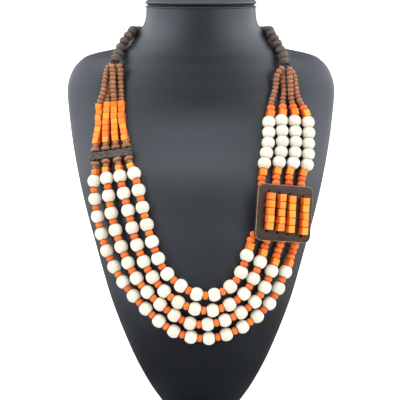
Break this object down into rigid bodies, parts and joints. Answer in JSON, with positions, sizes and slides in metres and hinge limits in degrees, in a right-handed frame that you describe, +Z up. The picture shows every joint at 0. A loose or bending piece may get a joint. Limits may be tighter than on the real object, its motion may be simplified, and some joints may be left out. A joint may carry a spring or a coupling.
{
  "type": "beaded necklace on a neck bust",
  "caption": "Beaded necklace of several strings of ivory, orange and brown wooden beads with a drilled spacer bar and a bead-trimmed plaque, on a dark neck bust.",
  "frame": {"origin": "middle of the foot's flat underside", "axes": "+Z up the bust, -Y out of its chest, +X to the viewer's right when facing the chest"},
  "size_m": [0.206, 0.148, 0.343],
  "materials": {
    "bust_cover": "matte",
    "painted_beads": "satin",
    "dark_wood": "satin",
    "clasp_metal": "satin"
  },
  "bodies": {
    "root": {"neck_bust": "bust_cover", "bust_cap": "bust_cover", "bust_foot": "bust_cover", "spacer_bar": "dark_wood", "plaque": "dark_wood", "string_outer": "painted_beads", "string_second": "painted_beads", "string_third": "painted_beads", "string_inner": "painted_beads", "neck_string_left": "dark_wood", "neck_string_right": "dark_wood", "clasp": "clasp_metal"}
  },
  "joints": []
}
